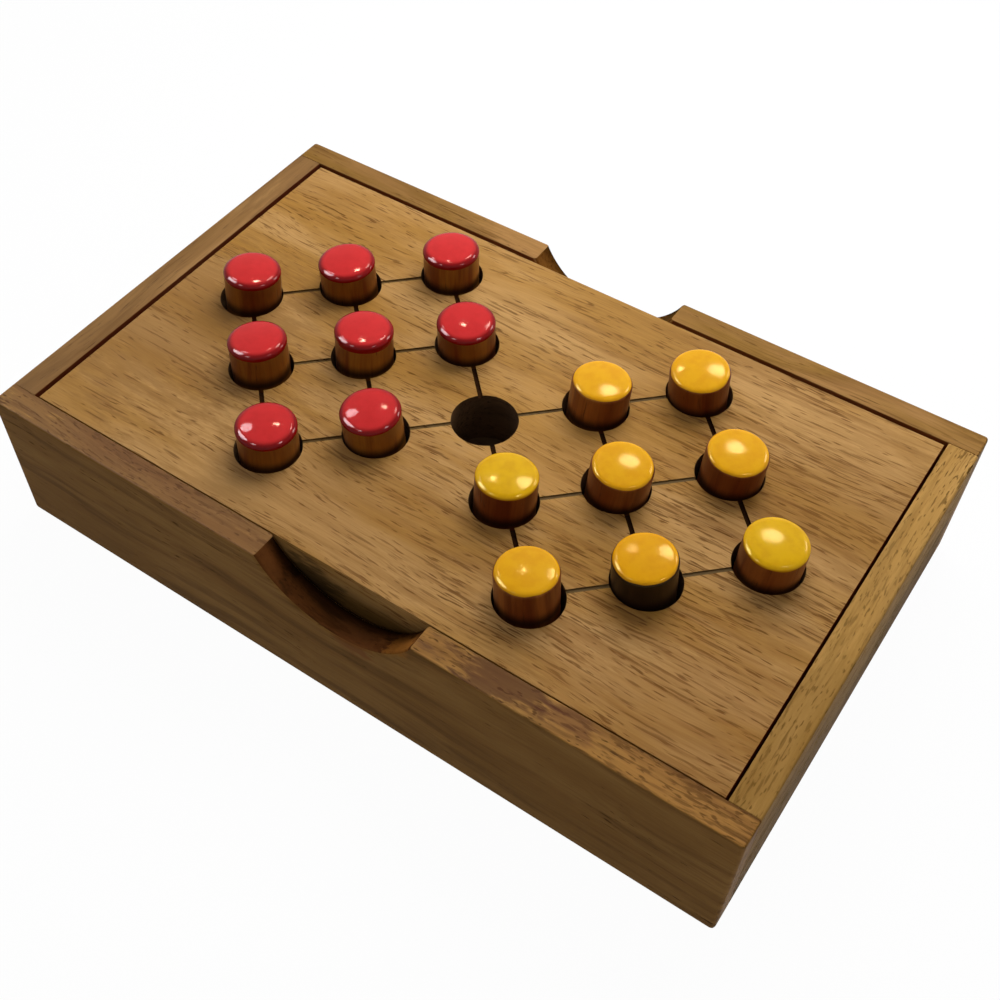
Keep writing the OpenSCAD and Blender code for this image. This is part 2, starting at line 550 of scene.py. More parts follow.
@dataclass(frozen=True)
class WoodFinish:
    """An oiled hardwood finish.

    Attributes:
        name: The material's name.
        light: The palest tone.
        middle: The usual tone.
        dark: The tone of the growth streaks.
        pore: The colour inside the pores.
        grain: The way the fibres run.
        bands: Strength of the broad soft bands, 0 to 1.
        band_width: Width of a band, in millimetres.
        streaks: Strength of the fine streaks, 0 to 1.
        streak_length: Length of a streak, in millimetres.
        streak_width: Width of a streak, in millimetres.
        pores: How crowded the pores are, 0 to 1.
        pore_length: Length of a pore dash, in millimetres.
        pore_width: Width of a pore dash, in millimetres.
        roughness: Roughness between the pores.
        gloss: Strength of the oil's gloss.
        seed: Moves the pattern, so that no two pieces show the same wood.
        turn: Turn of the fibres away from the piece's length, in degrees.
        patches: Spots of another colour: worn and stained spots, and painted light and shade.
        shade: Where it darkens along one axis, which paints shade.
        figure: Where the bands, streaks and pores stand out more, and by how much.
    """

    name: str
    light: Colour
    middle: Colour
    dark: Colour
    pore: Colour
    grain: Grain = Grain.ALONG_X
    bands: float = 0.4
    band_width: float = 4.0
    streaks: float = 0.6
    streak_length: float = 14.0
    streak_width: float = 0.6
    pores: float = 0.5
    pore_length: float = 3.2
    pore_width: float = 0.36
    roughness: float = 0.45
    gloss: float = 0.035
    seed: float = 0.0
    turn: float = 0.0
    patches: tuple[Patch, ...] = ()
    shade: Shade | None = None
    figure: Shade | None = None
    SEED_STEP = (0.37, 0.11, 0.053)
    PORE_ROUGHNESS = 0.3
    RELIEF = 0.6
    PORE_DEPTH = 0.12 * MM

    def coordinates(self, bench: NodeBench) -> Socket:
        """Read the piece's coordinates and turn them so that the fibres run along X.

        Args:
            bench: The material's bench.

        Returns:
            The turned coordinates, in metres.
        """
        mapping = bench.add("ShaderNodeMapping")
        if self.grain is Grain.OWN_LENGTH:
            own = bench.add("ShaderNodeAttribute", attribute_name="own")
            bench.feed(mapping, "Vector", own.outputs["Vector"])
            bench.feed(mapping, "Rotation", (0.0, math.radians(90.0), 0.0))
        else:
            bench.feed(mapping, "Vector", bench.object_place())
            quarter = 90.0 if self.grain is Grain.ALONG_Y else 0.0
            bench.feed(mapping, "Rotation", (0.0, 0.0, math.radians(self.turn - quarter)))
        bench.feed(mapping, "Location", tuple(self.seed * step for step in self.SEED_STEP))
        return mapping.outputs[0]

    def grain_node(self, bench: NodeBench, effects: Effects) -> bpy.types.Node:
        """Place the grain group with this wood's values.

        Args:
            bench: The material's bench.
            effects: The shared groups.

        Returns:
            The group node.
        """
        node = bench.add("ShaderNodeGroup", node_tree=effects.wood)
        bench.feed(node, "Place", self.coordinates(bench))
        for name, value in (("Light", self.light), ("Middle", self.middle), ("Dark", self.dark),
                            ("Pore", self.pore), ("Bands", self.bands), ("Band Width", self.band_width),
                            ("Streaks", self.streaks), ("Streak Length", self.streak_length),
                            ("Streak Width", self.streak_width), ("Pores", self.pores),
                            ("Pore Length", self.pore_length), ("Pore Width", self.pore_width)):
            bench.feed(node, name, value)
        if self.figure is not None:
            more = self.figure.mask(bench)
            for name, value in (("Bands", self.bands), ("Streaks", self.streaks), ("Pores", self.pores)):
                bench.feed(node, name, bench.maths("ADD", more, value))
        return node

    def patch_and_shade_colour(self, bench: NodeBench, effects: Effects, colour: Socket) -> Socket:
        """Lay the patches, and the painted shade along one axis, over the wood's colour.

        Args:
            bench: The material's bench.
            effects: The shared groups.
            colour: The clean wood's colour.

        Returns:
            The colour that shows.
        """
        if not self.patches and self.shade is None:
            return colour
        place = bench.object_place()
        fibres = self.coordinates(bench)
        for patch in self.patches:
            spot = bench.add("ShaderNodeGroup", node_tree=effects.patch)
            for name, value in (("Place", place), ("Fibres", fibres), ("Centre", patch.centre),
                                ("Radius", patch.radius)):
                bench.feed(spot, name, value)
            share = bench.maths("MULTIPLY", spot.outputs["Mask"], patch.strength)
            colour = bench.mix(share, colour, patch.colour)
        if self.shade is not None:
            colour = bench.mix(self.shade.mask(bench), colour, self.shade.colour)
        return colour

    def build(self, effects: Effects) -> bpy.types.Material:
        """Make the material.

        Args:
            effects: The shared groups.

        Returns:
            The finished material.
        """
        material, bench = new_material(self.name)
        wood = self.grain_node(bench, effects)
        shader = bench.add("ShaderNodeBsdfPrincipled")
        bench.feed(shader, "Base Color", self.patch_and_shade_colour(bench, effects, wood.outputs["Colour"]))
        rough = bench.maths("MULTIPLY_ADD", wood.outputs["Pore Mask"], self.PORE_ROUGHNESS, self.roughness)
        bench.feed(shader, "Roughness", rough)
        bench.feed(shader, "Specular IOR Level", self.gloss)
        bench.feed(shader, "Normal", bench.bump(self.RELIEF, self.PORE_DEPTH, wood.outputs["Height"]))
        bench.to_output(shader.outputs[0])
        return material


# The pegs' wood darkens round the height of the board's top, most just above it: painted shade of the
# holes at their feet.
PEG_FOOT_SHADE = Shade("Z", 35.1, 37.9, 0.86, srgb(24, 10, 6), 33.6)


@dataclass(frozen=True)
class PegFinish:
    """A stained dowel with one end dipped in gloss paint.

    Attributes:
        name: The material's name.
        body: The stained wood.
        paint: The paint's colour.
        dark_and_shaded_paint: The darker paint of the mottled spots, which also paints the shade on the
            cap's shoulder and side.
        shine: The tint of the paint's gloss.
        mottle: How uneven the film looks, 0 to 1.
        roughness: Roughness of the film.
        gloss: Strength of the film's gloss.
    """

    name: str
    body: WoodFinish
    paint: Colour
    dark_and_shaded_paint: Colour
    shine: Colour = (1.0, 1.0, 1.0)
    mottle: float = 0.4
    roughness: float = 0.11
    gloss: float = 0.16
    BARE_ROUGHNESS = 0.36
    FILM_EDGE = 0.05
    BRUSH_MARKS = 0.5
    RELIEF = 0.4
    MARK_DEPTH = 0.1 * MM

    def build(self, effects: Effects) -> bpy.types.Material:
        """Make the material.

        The piece's own attributes steer it: "reach" is the height above the paint's edge, "side" grows
        from the cap's top to its side, and "own" holds the coordinates of the upright peg.

        Args:
            effects: The shared groups.

        Returns:
            The finished material.
        """
        material, bench = new_material(self.name)
        wood = self.body.grain_node(bench, effects)
        # Painted shade round the foot, where the peg meets its hole.
        foot_shaded = bench.mix(PEG_FOOT_SHADE.mask(bench), wood.outputs["Colour"], PEG_FOOT_SHADE.colour)
        own = bench.add("ShaderNodeAttribute", attribute_name="own").outputs["Vector"]
        # The "side" attribute carries the painted shade down the cap's shoulder and side.
        side = bench.add("ShaderNodeAttribute", attribute_name="side").outputs["Fac"]
        reach = bench.add("ShaderNodeAttribute", attribute_name="reach").outputs["Fac"]
        skin = bench.add("ShaderNodeGroup", node_tree=effects.skin)
        for name, value in (("Place", own), ("Paint", self.paint), ("Dark And Shaded Paint", self.dark_and_shaded_paint),
                            ("Mottle", self.mottle), ("Side", side)):
            bench.feed(skin, name, value)
        above = bench.maths("ADD", reach, skin.outputs["Run"])
        film = bench.ramp(above, -self.FILM_EDGE, self.FILM_EDGE)
        shader = bench.add("ShaderNodeBsdfPrincipled")
        bench.feed(shader, "Base Color", bench.mix(film, foot_shaded, skin.outputs["Colour"]))
        bench.feed(shader, "Roughness", bench.ramp(film, 0.0, 1.0, self.BARE_ROUGHNESS, self.roughness))
        bench.feed(shader, "Specular IOR Level", self.gloss)
        bench.feed(shader, "Specular Tint", self.shine)
        grain = bench.maths("MULTIPLY", wood.outputs["Height"], bench.maths("SUBTRACT", 1.0, film))
        marks = bench.maths("MULTIPLY", film, self.BRUSH_MARKS)
        brush = bench.maths("MULTIPLY", skin.outputs["Height"], marks)
        height = bench.maths("ADD", grain, brush)
        bench.feed(shader, "Normal", bench.bump(self.RELIEF, self.MARK_DEPTH, height))
        bench.to_output(shader.outputs[0])
        return material


# These patches paint much of the light's falloff over the board, darker towards the front and the left and
# near ends and lighter at the back, along with its own tone. The last one paints the shade on the board's
# front face inside the front scoop.
BOARD_TONES_LIGHT_AND_SHADE = (Patch((-74.0, -14.0, 35.0), 34.0, srgb(136, 96, 52), 0.45),
               Patch((74.0, -42.0, 35.0), 34.0, srgb(140, 92, 44), 0.3),
               Patch((-12.0, -40.0, 35.0), 32.0, srgb(140, 98, 50), 0.26),
               Patch((76.0, 22.0, 35.0), 26.0, srgb(146, 104, 54), 0.3),
               Patch((-80.0, 46.0, 35.0), 20.0, srgb(140, 98, 50), 0.16),
               Patch((8.0, 40.0, 35.0), 40.0, srgb(206, 166, 104), 0.08),
               Patch((14.0, 2.0, 35.0), 22.0, srgb(192, 142, 70), 0.3),
               Patch((-8.0, -47.3, 27.5), 7.0, srgb(40, 31, 18), 0.62))
# Its shade darkens the board's sides below the top: painted shade in the gaps and in the front scoop.
BOARD_WOOD = WoodFinish(
    "board_wood", light=srgb(186, 143, 86), middle=srgb(165, 120, 56), dark=srgb(120, 76, 31),
    pore=srgb(88, 50, 20), bands=0.16, band_width=2.6, streaks=0.3, streak_length=15.0,
    streak_width=0.62, pores=0.74, pore_length=4.0, pore_width=0.44, gloss=0.02, seed=1.0,
    shade=Shade("Z", 26.0, 35.0, 0.74), patches=BOARD_TONES_LIGHT_AND_SHADE, figure=Shade("X", 40.0, -40.0, 0.22))
# Its shade turns the top of each end dark red: painted shade of the narrow gaps at the ends.
BOARD_END_WOOD = WoodFinish(
    "board_end_wood", light=srgb(140, 84, 52), middle=srgb(120, 66, 41), dark=srgb(90, 48, 29),
    pore=srgb(62, 36, 20), grain=Grain.ALONG_Y, streaks=0.3, pores=0.9, pore_length=0.5, pore_width=0.5,
    roughness=0.6, gloss=0.0, seed=1.5, shade=Shade("Z", 34.2, 32.4, 0.74, srgb(134, 50, 30)))
# Much darker than the board's face, which paints the shade deep in the holes.
HOLE_WOOD = WoodFinish(
    "drilled_wood", light=srgb(104, 78, 52), middle=srgb(82, 60, 40), dark=srgb(56, 40, 26),
    pore=srgb(36, 26, 16), roughness=0.7, seed=2.0)
ROW_LINE_WOOD = WoodFinish(
    "row_line_wood", light=srgb(116, 92, 56), middle=srgb(98, 74, 42), dark=srgb(68, 48, 26),
    pore=srgb(50, 34, 18), roughness=0.7, gloss=0.0, seed=2.5,
    patches=(Patch((52.0, 4.0, 35.0), 52.0, srgb(114, 94, 64), 0.6),))
COLUMN_LINE_WOOD = WoodFinish(
    "column_line_wood", light=srgb(64, 40, 22), middle=srgb(50, 30, 16), dark=srgb(34, 20, 11),
    pore=srgb(22, 13, 8), roughness=0.7, gloss=0.0, seed=2.7)
# In both lists the pale orange patch near the scoop's right end paints the light falling there; the other
# patches darken the cut and the wall's face in places.
SCOOP_TINTS_AND_LIGHT = (Patch((17.5, -52.6, 31.0), 5.5, srgb(176, 112, 46), 0.5),
              Patch((7.0, -53.8, 25.0), 6.0, srgb(128, 78, 42), 0.6),
              Patch((-14.5, -52.5, 33.0), 5.0, srgb(112, 66, 30), 0.5))
LIP_TINTS_AND_LIGHT = (Patch((17.0, -53.8, 32.4), 2.6, srgb(176, 116, 54), 0.5),
            Patch((7.0, -53.8, 24.4), 4.0, srgb(128, 74, 40), 0.6))
# Dark red that the back and left walls' inner faces blend into: painted shade in the gap round the board.
GAP_SHADE = srgb(92, 28, 12)
FRONT_WOOD = WoodFinish(
    "front_wall_wood", light=srgb(163, 121, 68), middle=srgb(143, 103, 54), dark=srgb(96, 65, 30),
    pore=srgb(66, 42, 18), bands=0.55, band_width=4.0, streaks=0.28, streak_length=24.0, streak_width=1.0,
    pores=0.3, pore_length=3.2, pore_width=0.5, gloss=0.006, seed=3.0, patches=LIP_TINTS_AND_LIGHT)
# The rim's dark patches are stains; the pale patch at the near end paints light there.
FRONT_RIM_WOOD = WoodFinish(
    "front_rim_wood", light=srgb(196, 148, 76), middle=srgb(164, 116, 54), dark=srgb(98, 60, 25),
    pore=srgb(68, 40, 17), bands=0.4, band_width=2.4, streaks=0.4, streak_length=8.0, streak_width=0.7,
    pores=0.8, pore_length=1.9, pore_width=0.6, seed=3.2, figure=Shade("X", 80.0, 34.0, 0.45),
    patches=(Patch((-50.0, -52.0, 35.0), 62.0, srgb(104, 68, 42), 0.66),
             Patch((38.0, -49.0, 35.0), 9.0, srgb(84, 48, 28), 0.75),
             Patch((52.0, -49.0, 35.0), 5.0, srgb(92, 50, 34), 0.5),
             Patch((72.0, -51.5, 35.0), 14.0, srgb(190, 132, 64), 0.12)))
# Its shade darkens the cut towards the board: painted shadow that the board casts into the scoop.
FRONT_SCOOP_WOOD = WoodFinish(
    "front_scoop_wood", light=srgb(112, 66, 32), middle=srgb(86, 50, 24), dark=srgb(54, 32, 15),
    pore=srgb(40, 24, 13), bands=0.7, band_width=3.0, streaks=0.5, pores=0.5, gloss=0.0, seed=3.5,
    patches=SCOOP_TINTS_AND_LIGHT, shade=Shade("Y", -48.3, -51.6, 0.88))
# Its patch darkens the wall's far left end: painted shade where less light falls.
BACK_WOOD = WoodFinish(
    "back_wall_wood", light=srgb(168, 124, 74), middle=srgb(144, 106, 46), dark=srgb(106, 70, 28),
    pore=srgb(80, 48, 22), bands=0.4, streaks=0.6, pores=0.5, gloss=0.015, seed=4.0,
    patches=(Patch((-78.0, 51.0, 35.0), 40.0, srgb(112, 80, 42), 0.42),),
    shade=Shade("Y", 47.7, 47.8, 0.7, GAP_SHADE, 32.4))
# Its shade darkens the cut towards the wall's outer face; its dark patch paints the shadow on the scoop's
# right tip.
BACK_SCOOP_WOOD = WoodFinish(
    "back_scoop_wood", light=srgb(146, 98, 42), middle=srgb(122, 77, 30), dark=srgb(86, 52, 22),
    pore=srgb(60, 36, 16), bands=0.5, pores=0.3, gloss=0.0, seed=4.5, shade=Shade("Y", 54.0, 49.5, 0.72),
    patches=(Patch((17.0, 51.0, 33.0), 5.0, srgb(66, 48, 22), 0.8),))
# Its patch darkens the wall's far end: painted shade where less light falls.
LEFT_WOOD = WoodFinish(
    "left_end_wood", light=srgb(158, 118, 70), middle=srgb(131, 94, 50), dark=srgb(102, 70, 36),
    pore=srgb(74, 48, 26), grain=Grain.ALONG_Y, bands=0.4, streaks=0.3, pores=0.4, seed=5.0,
    patches=(Patch((-84.0, 52.0, 35.0), 34.0, srgb(112, 78, 42), 0.42),),
    shade=Shade("X", -81.0, -81.1, 0.85, GAP_SHADE, 32.4))
# Its shade darkens the end face towards the foot: painted shade.
RIGHT_WOOD = WoodFinish(
    "right_end_wood", light=srgb(190, 147, 84), middle=srgb(166, 124, 62), dark=srgb(116, 80, 36),
    pore=srgb(70, 45, 15), grain=Grain.ALONG_Y, bands=0.5, streaks=0.4, pores=0.96, pore_length=1.8,
    pore_width=0.42, gloss=0.003, seed=6.0, shade=Shade("Z", 4.0, 33.0, 0.5),
    patches=(Patch((84.0, 6.0, 35.0), 30.0, srgb(206, 162, 92), 0.22),
             Patch((84.0, -34.0, 35.0), 34.0, srgb(140, 104, 50), 0.48)))
FLOOR_WOOD = WoodFinish(
    "tray_floor_wood", light=srgb(140, 102, 58), middle=srgb(120, 84, 48), dark=srgb(92, 62, 34),
    pore=srgb(66, 42, 22), pores=0.4, roughness=0.6, seed=7.0)
DOWEL = WoodFinish(
    "dowel", light=srgb(150, 95, 32), middle=srgb(116, 62, 16), dark=srgb(98, 32, 9),
    pore=srgb(56, 26, 8), grain=Grain.OWN_LENGTH, bands=0.7, band_width=3.4, streaks=0.28,
    streak_length=12.0, streak_width=0.7, pores=0.3, pore_length=4.0, pore_width=0.45)
RUSSET_DOWEL = replace(
    DOWEL, name="russet_dowel", light=srgb(146, 84, 34), middle=srgb(112, 52, 18),
    dark=srgb(86, 28, 10), pore=srgb(48, 20, 7), streaks=0.24)
EBONY_DOWEL = replace(
    DOWEL, name="dark_dowel", light=srgb(50, 32, 18), middle=srgb(36, 22, 12),
    dark=srgb(24, 15, 8), pore=srgb(14, 9, 5), bands=0.5, band_width=2.2, streaks=0.4)
RED_PEG = PegFinish(
    "red_peg_paint", DOWEL, paint=srgb(203, 41, 41), dark_and_shaded_paint=srgb(130, 3, 4),
    shine=(1.0, 0.8, 0.8), mottle=0.12, roughness=0.07, gloss=0.125)
YELLOW_PEG = PegFinish(
    "yellow_peg_paint", RUSSET_DOWEL, paint=srgb(230, 166, 14), dark_and_shaded_paint=srgb(208, 128, 2),
    shine=(1.0, 0.84, 0.34), mottle=0.3)
LEMON_PEG = replace(
    YELLOW_PEG, name="lemon_peg_paint", paint=srgb(224, 172, 8), dark_and_shaded_paint=srgb(192, 130, 2))
DARK_YELLOW_PEG = replace(
    YELLOW_PEG, name="dark_yellow_peg_paint", body=EBONY_DOWEL, paint=srgb(230, 162, 10))


def place_shape(name: str, shape: bmesh.types.BMesh) -> bpy.types.Object:
    """Turn a shape into an object of the scene.

    Args:
        name: The object's name.
        shape: The shape, in metres, in its place. It is freed.

    Returns:
        The new object.
    """
    mesh = bpy.data.meshes.new(name)
    shape.to_mesh(mesh)
    shape.free()
    made = bpy.data.objects.new(name, mesh)
    bpy.context.scene.collection.objects.link(made)
    return made


def finish_piece(name: str, shape: bmesh.types.BMesh, node: str,
                 materials: list[bpy.types.Material]) -> bpy.types.Object:
    """Turn a shape into a piece that stands for a CAD node and moves with that node's body.

    Args:
        name: The piece's name.
        shape: The finished shape, in metres, in its place. It is freed.
        node: The CAD node that the piece stands for.
        materials: The piece's materials, in the order of its faces' numbers.

    Returns:
        The new object.
    """
    piece = place_shape(name, shape)
    for material in materials:
        piece.data.materials.append(material)
    piece.data.shade_smooth()
    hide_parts(node)
    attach(piece, frame["nodes"][node]["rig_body"])
    return piece


def round_edges(piece: bpy.types.Object, rule: Callable[[Vector, Vector], float], widest: float,
                segments: int = 4) -> None:
    """Round a piece's edges, each by its own radius.

    Args:
        piece: The piece, with sharp edges.
        rule: Gives an edge's radius in millimetres, from its two ends.
        widest: The largest radius that the rule gives, in millimetres.
        segments: Faces across a rounded edge.
    """
    mesh = piece.data
    weights = mesh.attributes.new("bevel_weight_edge", "FLOAT", "EDGE")
    for edge in mesh.edges:
        ends = [mesh.vertices[i].co for i in edge.vertices]
        weights.data[edge.index].value = rule(*ends) / widest
    bevel = piece.modifiers.new("rounded edges", "BEVEL")
    bevel.limit_method = "WEIGHT"
    bevel.width = widest * MM
    bevel.segments = segments
    bevel.harden_normals = True
    bevel.use_clamp_overlap = True


@dataclass(frozen=True)
class Scoop:
    """A round finger scoop in the top edge of a long wall.

    Attributes:
        x: Its middle along the wall, in millimetres.
        length: Its length at the rim, in millimetres.
        deep: Its depth, in millimetres.
    """

    x: float
    length: float
    deep: float

    @property
    def radius(self) -> float:
        """Radius of the round cut, in millimetres."""
        return ((self.length / 2) ** 2 + self.deep ** 2) / (2 * self.deep)

    @property
    def half_angle(self) -> float:
        """Half the angle that the cut turns through."""
        return math.asin(self.length / 2 / self.radius)


@dataclass
class Tray:
    """The tray: four wall strips, a floor panel and two ledges, all glued.

    Attributes:
        effects: The shared groups.
        front_scoop: The front wall's finger scoop.
        back_scoop: The back wall's finger scoop.
        corner_r: Rounding of the outer corners, in millimetres, as the other radii are.
        rim_r: Rounding of the rim's outer edges.
        foot_r: Rounding of the outer edges at the foot.
        inner_r: Rounding of the rim's inner edges.
        seam_r: Rounding of the edges where two pieces meet.
        scoop_edge_r: Rounding of the scoops' edges.
        arc_steps: Faces along a scoop.
    """

    effects: Effects
    front_scoop: Scoop = Scoop(2.2, 36.4, 11.0)
    back_scoop: Scoop = Scoop(-0.4, 35.2, 10.6)
    corner_r: float = 0.9
    rim_r: float = 0.5
    foot_r: float = 0.8
    inner_r: float = 0.2
    seam_r: float = 0.22
    scoop_edge_r: float = 0.9
    arc_steps: int = 40

    def build(self) -> list[bpy.types.Object]:
        """Make every piece of the tray.

        Returns:
            The pieces.
        """
        pieces = [
            self.long_wall("front_wall", self.front_scoop, -1,
                           (FRONT_WOOD, FRONT_SCOOP_WOOD, FRONT_RIM_WOOD)),
            self.long_wall("back_wall", self.back_scoop, 1, (BACK_WOOD, BACK_SCOOP_WOOD, BACK_WOOD)),
            self.end_wall("left_end_wall", -1, LEFT_WOOD),
            self.end_wall("right_end_wall", 1, RIGHT_WOOD),
        ]
        floor = FLOOR_WOOD.build(self.effects)
        for node in ("base_panel", "left_ledge", "right_ledge"):
            pieces.append(self.plain_strip(node, floor))
        return pieces

    def long_wall(self, node: str, scoop: Scoop, side: int,
                  woods: tuple[WoodFinish, WoodFinish, WoodFinish]) -> bpy.types.Object:
        """Make a long wall: its outline with the scoop's arc, pulled out to its thickness.

        Args:
            node: The CAD node that it stands for.
            scoop: Its finger scoop.
            side: -1 for the front wall, 1 for the back wall.
            woods: Its finish, and the finishes of the scoop's cut and of the rim.

        Returns:
            The piece.
        """
        low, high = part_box(node)
        shape = bmesh.new()
        half = scoop.length / 2 * MM
        middle = scoop.x * MM
        flat = [(middle - half, high.z), (low.x, high.z), (low.x, low.z), (high.x, low.z),
                (high.x, high.z), (middle + half, high.z)]
        outline = [shape.verts.new((x, low.y, z)) for x, z in flat]
        for a, b in zip(outline, outline[1:]):
            shape.edges.new((a, b))
        centre = Vector((middle, low.y, high.z + (scoop.radius - scoop.deep) * MM))
        bmesh.ops.spin(shape, geom=[outline[-1]], cent=centre, axis=(0, 1, 0),
                       angle=2 * scoop.half_angle, steps=self.arc_steps)
        bmesh.ops.remove_doubles(shape, verts=shape.verts, dist=NEAR)
        face = bmesh.ops.contextual_create(shape, geom=shape.edges)["faces"]
        moved = bmesh.ops.extrude_face_region(shape, geom=face)["geom"]
        corners = [item for item in moved if isinstance(item, bmesh.types.BMVert)]
        bmesh.ops.translate(shape, verts=corners, vec=(0, high.y - low.y, 0))
        bmesh.ops.recalc_face_normals(shape, faces=shape.faces)
        for cut in shape.faces:
            away = cut.calc_center_median() - centre
            if abs(cut.normal.y) > 0.5:
                continue
            if abs(math.hypot(away.x, away.z) - scoop.radius * MM) < 5 * NEAR:
                cut.material_index = 1
            elif cut.normal.z > 0.5:
                cut.material_index = 2
        piece = finish_piece(node + "_strip", shape, node, [wood.build(self.effects) for wood in woods])
        outer = low.y if side < 0 else high.y
        round_edges(piece, self.wall_rule(low, high, 1, outer, (low.x, high.x)), self.corner_r)
        return piece

    def end_wall(self, node: str, side: int, wood: WoodFinish) -> bpy.types.Object:
        """Make an end wall, a plain strip between the long walls.

        Args:
            node: The CAD node that it stands for.
            side: -1 for the left wall, 1 for the right wall.
            wood: Its finish.

        Returns:
            The piece.
        """
        low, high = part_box(node)
        piece = finish_piece(node + "_strip", self.block(low, high), node, [wood.build(self.effects)])
        outer = low.x if side < 0 else high.x
        round_edges(piece, self.wall_rule(low, high, 0, outer, ()), self.corner_r)
        return piece

    def plain_strip(self, node: str, material: bpy.types.Material) -> bpy.types.Object:
        """Make a hidden strip or panel with slightly eased edges.

        Args:
            node: The CAD node that it stands for.
            material: Its finish.

        Returns:
            The piece.
        """
        low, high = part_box(node)
        piece = finish_piece(node + "_strip", self.block(low, high), node, [material])
        round_edges(piece, lambda a, b: self.seam_r, self.seam_r, 2)
        return piece

    @staticmethod
    def block(low: Vector, high: Vector) -> bmesh.types.BMesh:
        """Start a block between two corners.

        Args:
            low: Its lowest corner.
            high: Its highest corner.

        Returns:
            The block.
        """
        shape = bmesh.new()
        middle = (low + high) / 2
        place = Matrix.Translation(middle) @ Matrix.Diagonal((*(high - low), 1))
        bmesh.ops.create_cube(shape, size=1.0, matrix=place)
        return shape

    def wall_rule(self, low: Vector, high: Vector, across: int, outer: float,
                  ends: tuple[float, ...]) -> Callable[[Vector, Vector], float]:
        """Say how far each edge of a wall is rounded.

        Args:
            low: The wall's lowest corner.
            high: The wall's highest corner.
            across: The axis through the wall's thickness.
            outer: The outer face's place on that axis.
            ends: Places along X of the wall's free ends, if it has any.

        Returns:
            The rule for round_edges.
        """
        def rule(a: Vector, b: Vector) -> float:
            """Give one edge's radius.

            Args:
                a: The edge's first end.
                b: The edge's second end.

            Returns:
                The radius, in millimetres, or 0 where the edge stays sharp.
            """
            def both(axis: int, place: float) -> bool:
                """Tell whether both ends of the edge lie there."""
                return abs(a[axis] - place) < NEAR and abs(b[axis] - place) < NEAR

            on_outer = both(across, outer)
            on_end = any(both(0, end) for end in ends)
            if both(2, high.z):
                return self.rim_r if on_outer or on_end else self.inner_r
            if both(2, low.z):
                return self.foot_r if on_outer or on_end else self.seam_r
            if on_end:
                return self.corner_r if on_outer else self.seam_r
            if any(both(axis, corner[axis]) for axis in (0, 1) for corner in (low, high)
                   if abs(a.z - b.z) > (high.z - low.z) / 2):
                return self.seam_r
            if abs(a[across] - b[across]) > NEAR:
                return self.rim_r if max(a.z, b.z) > high.z - NEAR else 0.0
            return self.scoop_edge_r

        return rule


class BoardWood(Enum):
    """The board's finishes, by the number that its faces carry."""

    OUTSIDE = 0
    HOLE = 1
    ROW_LINE = 2
    COLUMN_LINE = 3
    END = 4


